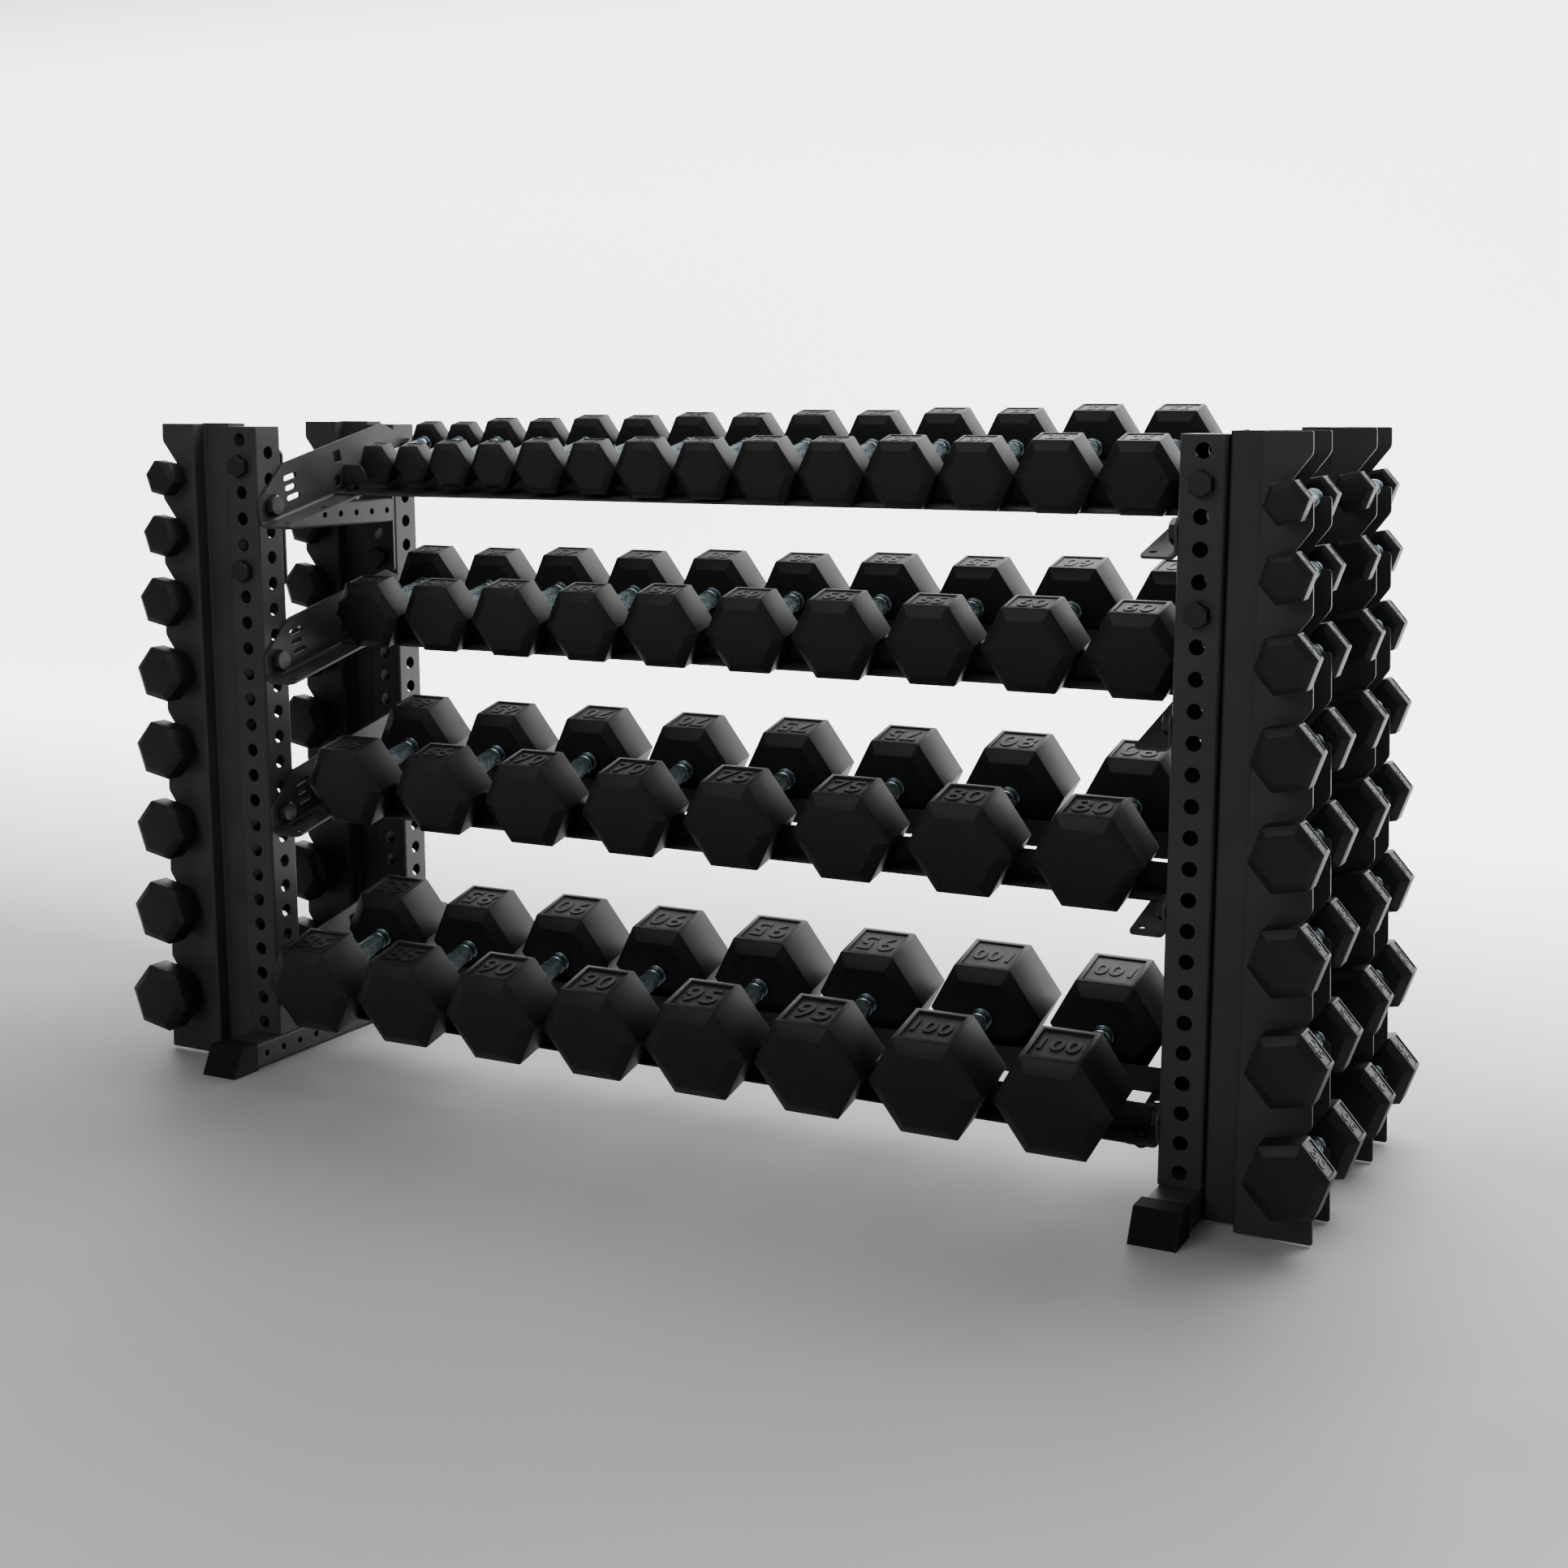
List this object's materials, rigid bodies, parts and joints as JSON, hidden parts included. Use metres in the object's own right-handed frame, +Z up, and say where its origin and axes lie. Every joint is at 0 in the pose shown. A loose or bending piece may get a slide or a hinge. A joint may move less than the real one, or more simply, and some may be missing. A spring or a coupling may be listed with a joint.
{
  "type": "dumbbell rack",
  "caption": "Free-standing steel dumbbell rack with sloping angle-rail tiers and notched end holders, loaded with hex dumbbells that lift off.",
  "frame": {"origin": "on the floor, under the middle of the rack", "axes": "+X along the tiers to the right as seen from the front, +Y from the front to the back, +Z up"},
  "size_m": [2.37, 0.7894, 1.3167],
  "materials": {
    "powder_coat": "matte black powder coat with a fine texture",
    "rubber": "matte black moulded rubber",
    "dumbbell_head": "matte black rubber coat over cast iron",
    "handle_steel": "knurled plated steel grip",
    "fastener": "black oxide hex bolts"
  },
  "bodies": {
    "rack_frame": {"upright_left_front": "powder_coat", "upright_left_rear": "powder_coat", "side_holder_left_front": "powder_coat", "side_holder_left_rear": "powder_coat", "foot_cap_left_front": "rubber", "foot_cap_left_rear": "rubber", "base_crossmember_left": "powder_coat", "top_crossmember_left": "powder_coat", "upright_right_front": "powder_coat", "upright_right_rear": "powder_coat", "side_holder_right_front": "powder_coat", "side_holder_right_rear": "powder_coat", "foot_cap_right_front": "rubber", "foot_cap_right_rear": "rubber", "base_crossmember_right": "powder_coat", "top_crossmember_right": "powder_coat", "tray_1": "powder_coat", "tray_2": "powder_coat", "tray_3": "powder_coat", "tray_4": "powder_coat"},
    "dumbbell_005_a": {"dumbbell_005_a": "dumbbell_head"},
    "dumbbell_005_b": {"dumbbell_005_b": "dumbbell_head"},
    "dumbbell_010_a": {"dumbbell_010_a": "dumbbell_head"},
    "dumbbell_010_b": {"dumbbell_010_b": "dumbbell_head"},
    "dumbbell_015_a": {"dumbbell_015_a": "dumbbell_head"},
    "dumbbell_015_b": {"dumbbell_015_b": "dumbbell_head"},
    "dumbbell_020_a": {"dumbbell_020_a": "dumbbell_head"},
    "dumbbell_020_b": {"dumbbell_020_b": "dumbbell_head"},
    "dumbbell_025_a": {"dumbbell_025_a": "dumbbell_head"},
    "dumbbell_025_b": {"dumbbell_025_b": "dumbbell_head"},
    "dumbbell_030_a": {"dumbbell_030_a": "dumbbell_head"},
    "dumbbell_030_b": {"dumbbell_030_b": "dumbbell_head"},
    "dumbbell_035_a": {"dumbbell_035_a": "dumbbell_head"},
    "dumbbell_035_b": {"dumbbell_035_b": "dumbbell_head"},
    "dumbbell_040_a": {"dumbbell_040_a": "dumbbell_head"},
    "dumbbell_040_b": {"dumbbell_040_b": "dumbbell_head"},
    "dumbbell_045_a": {"dumbbell_045_a": "dumbbell_head"},
    "dumbbell_045_b": {"dumbbell_045_b": "dumbbell_head"},
    "dumbbell_050_a": {"dumbbell_050_a": "dumbbell_head"},
    "dumbbell_050_b": {"dumbbell_050_b": "dumbbell_head"},
    "dumbbell_055_a": {"dumbbell_055_a": "dumbbell_head"},
    "dumbbell_055_b": {"dumbbell_055_b": "dumbbell_head"},
    "dumbbell_060_a": {"dumbbell_060_a": "dumbbell_head"},
    "dumbbell_060_b": {"dumbbell_060_b": "dumbbell_head"},
    "dumbbell_065_a": {"dumbbell_065_a": "dumbbell_head"},
    "dumbbell_065_b": {"dumbbell_065_b": "dumbbell_head"},
    "dumbbell_070_a": {"dumbbell_070_a": "dumbbell_head"},
    "dumbbell_070_b": {"dumbbell_070_b": "dumbbell_head"},
    "dumbbell_075_a": {"dumbbell_075_a": "dumbbell_head"},
    "dumbbell_075_b": {"dumbbell_075_b": "dumbbell_head"},
    "dumbbell_080_a": {"dumbbell_080_a": "dumbbell_head"},
    "dumbbell_080_b": {"dumbbell_080_b": "dumbbell_head"},
    "dumbbell_085_a": {"dumbbell_085_a": "dumbbell_head"},
    "dumbbell_085_b": {"dumbbell_085_b": "dumbbell_head"},
    "dumbbell_090_a": {"dumbbell_090_a": "dumbbell_head"},
    "dumbbell_090_b": {"dumbbell_090_b": "dumbbell_head"},
    "dumbbell_095_a": {"dumbbell_095_a": "dumbbell_head"},
    "dumbbell_095_b": {"dumbbell_095_b": "dumbbell_head"},
    "dumbbell_100_a": {"dumbbell_100_a": "dumbbell_head"},
    "dumbbell_100_b": {"dumbbell_100_b": "dumbbell_head"}
  },
  "joints": [
    {"name": "lift_dumbbell_005_a", "type": "slide", "parent": "rack_frame", "child": "dumbbell_005_a", "axis": [0, -0.229, 0.9734], "range_m": [0, 0.1]},
    {"name": "lift_dumbbell_005_b", "type": "slide", "parent": "rack_frame", "child": "dumbbell_005_b", "axis": [0, -0.229, 0.9734], "range_m": [0, 0.1]},
    {"name": "lift_dumbbell_010_a", "type": "slide", "parent": "rack_frame", "child": "dumbbell_010_a", "axis": [0, -0.229, 0.9734], "range_m": [0, 0.1]},
    {"name": "lift_dumbbell_010_b", "type": "slide", "parent": "rack_frame", "child": "dumbbell_010_b", "axis": [0, -0.229, 0.9734], "range_m": [0, 0.1]},
    {"name": "lift_dumbbell_015_a", "type": "slide", "parent": "rack_frame", "child": "dumbbell_015_a", "axis": [0, -0.229, 0.9734], "range_m": [0, 0.1]},
    {"name": "lift_dumbbell_015_b", "type": "slide", "parent": "rack_frame", "child": "dumbbell_015_b", "axis": [0, -0.229, 0.9734], "range_m": [0, 0.1]},
    {"name": "lift_dumbbell_020_a", "type": "slide", "parent": "rack_frame", "child": "dumbbell_020_a", "axis": [0, -0.229, 0.9734], "range_m": [0, 0.1]},
    {"name": "lift_dumbbell_020_b", "type": "slide", "parent": "rack_frame", "child": "dumbbell_020_b", "axis": [0, -0.229, 0.9734], "range_m": [0, 0.1]},
    {"name": "lift_dumbbell_025_a", "type": "slide", "parent": "rack_frame", "child": "dumbbell_025_a", "axis": [0, -0.229, 0.9734], "range_m": [0, 0.1]},
    {"name": "lift_dumbbell_025_b", "type": "slide", "parent": "rack_frame", "child": "dumbbell_025_b", "axis": [0, -0.229, 0.9734], "range_m": [0, 0.1]},
    {"name": "lift_dumbbell_030_a", "type": "slide", "parent": "rack_frame", "child": "dumbbell_030_a", "axis": [0, -0.229, 0.9734], "range_m": [0, 0.1]},
    {"name": "lift_dumbbell_030_b", "type": "slide", "parent": "rack_frame", "child": "dumbbell_030_b", "axis": [0, -0.229, 0.9734], "range_m": [0, 0.1]},
    {"name": "lift_dumbbell_035_a", "type": "slide", "parent": "rack_frame", "child": "dumbbell_035_a", "axis": [0, -0.229, 0.9734], "range_m": [0, 0.1]},
    {"name": "lift_dumbbell_035_b", "type": "slide", "parent": "rack_frame", "child": "dumbbell_035_b", "axis": [0, -0.229, 0.9734], "range_m": [0, 0.1]},
    {"name": "lift_dumbbell_040_a", "type": "slide", "parent": "rack_frame", "child": "dumbbell_040_a", "axis": [0, -0.229, 0.9734], "range_m": [0, 0.1]},
    {"name": "lift_dumbbell_040_b", "type": "slide", "parent": "rack_frame", "child": "dumbbell_040_b", "axis": [0, -0.229, 0.9734], "range_m": [0, 0.1]},
    {"name": "lift_dumbbell_045_a", "type": "slide", "parent": "rack_frame", "child": "dumbbell_045_a", "axis": [0, -0.229, 0.9734], "range_m": [0, 0.1]},
    {"name": "lift_dumbbell_045_b", "type": "slide", "parent": "rack_frame", "child": "dumbbell_045_b", "axis": [0, -0.229, 0.9734], "range_m": [0, 0.1]},
    {"name": "lift_dumbbell_050_a", "type": "slide", "parent": "rack_frame", "child": "dumbbell_050_a", "axis": [0, -0.229, 0.9734], "range_m": [0, 0.1]},
    {"name": "lift_dumbbell_050_b", "type": "slide", "parent": "rack_frame", "child": "dumbbell_050_b", "axis": [0, -0.229, 0.9734], "range_m": [0, 0.1]},
    {"name": "lift_dumbbell_055_a", "type": "slide", "parent": "rack_frame", "child": "dumbbell_055_a", "axis": [0, -0.229, 0.9734], "range_m": [0, 0.1]},
    {"name": "lift_dumbbell_055_b", "type": "slide", "parent": "rack_frame", "child": "dumbbell_055_b", "axis": [0, -0.229, 0.9734], "range_m": [0, 0.1]},
    {"name": "lift_dumbbell_060_a", "type": "slide", "parent": "rack_frame", "child": "dumbbell_060_a", "axis": [0, -0.229, 0.9734], "range_m": [0, 0.1]},
    {"name": "lift_dumbbell_060_b", "type": "slide", "parent": "rack_frame", "child": "dumbbell_060_b", "axis": [0, -0.229, 0.9734], "range_m": [0, 0.1]},
    {"name": "lift_dumbbell_065_a", "type": "slide", "parent": "rack_frame", "child": "dumbbell_065_a", "axis": [0, -0.229, 0.9734], "range_m": [0, 0.1]},
    {"name": "lift_dumbbell_065_b", "type": "slide", "parent": "rack_frame", "child": "dumbbell_065_b", "axis": [0, -0.229, 0.9734], "range_m": [0, 0.1]},
    {"name": "lift_dumbbell_070_a", "type": "slide", "parent": "rack_frame", "child": "dumbbell_070_a", "axis": [0, -0.229, 0.9734], "range_m": [0, 0.1]},
    {"name": "lift_dumbbell_070_b", "type": "slide", "parent": "rack_frame", "child": "dumbbell_070_b", "axis": [0, -0.229, 0.9734], "range_m": [0, 0.1]},
    {"name": "lift_dumbbell_075_a", "type": "slide", "parent": "rack_frame", "child": "dumbbell_075_a", "axis": [0, -0.229, 0.9734], "range_m": [0, 0.1]},
    {"name": "lift_dumbbell_075_b", "type": "slide", "parent": "rack_frame", "child": "dumbbell_075_b", "axis": [0, -0.229, 0.9734], "range_m": [0, 0.1]},
    {"name": "lift_dumbbell_080_a", "type": "slide", "parent": "rack_frame", "child": "dumbbell_080_a", "axis": [0, -0.229, 0.9734], "range_m": [0, 0.1]},
    {"name": "lift_dumbbell_080_b", "type": "slide", "parent": "rack_frame", "child": "dumbbell_080_b", "axis": [0, -0.229, 0.9734], "range_m": [0, 0.1]},
    {"name": "lift_dumbbell_085_a", "type": "slide", "parent": "rack_frame", "child": "dumbbell_085_a", "axis": [0, -0.229, 0.9734], "range_m": [0, 0.1]},
    {"name": "lift_dumbbell_085_b", "type": "slide", "parent": "rack_frame", "child": "dumbbell_085_b", "axis": [0, -0.229, 0.9734], "range_m": [0, 0.1]},
    {"name": "lift_dumbbell_090_a", "type": "slide", "parent": "rack_frame", "child": "dumbbell_090_a", "axis": [0, -0.229, 0.9734], "range_m": [0, 0.1]},
    {"name": "lift_dumbbell_090_b", "type": "slide", "parent": "rack_frame", "child": "dumbbell_090_b", "axis": [0, -0.229, 0.9734], "range_m": [0, 0.1]},
    {"name": "lift_dumbbell_095_a", "type": "slide", "parent": "rack_frame", "child": "dumbbell_095_a", "axis": [0, -0.229, 0.9734], "range_m": [0, 0.1]},
    {"name": "lift_dumbbell_095_b", "type": "slide", "parent": "rack_frame", "child": "dumbbell_095_b", "axis": [0, -0.229, 0.9734], "range_m": [0, 0.1]},
    {"name": "lift_dumbbell_100_a", "type": "slide", "parent": "rack_frame", "child": "dumbbell_100_a", "axis": [0, -0.229, 0.9734], "range_m": [0, 0.1]},
    {"name": "lift_dumbbell_100_b", "type": "slide", "parent": "rack_frame", "child": "dumbbell_100_b", "axis": [0, -0.229, 0.9734], "range_m": [0, 0.1]}
  ]
}
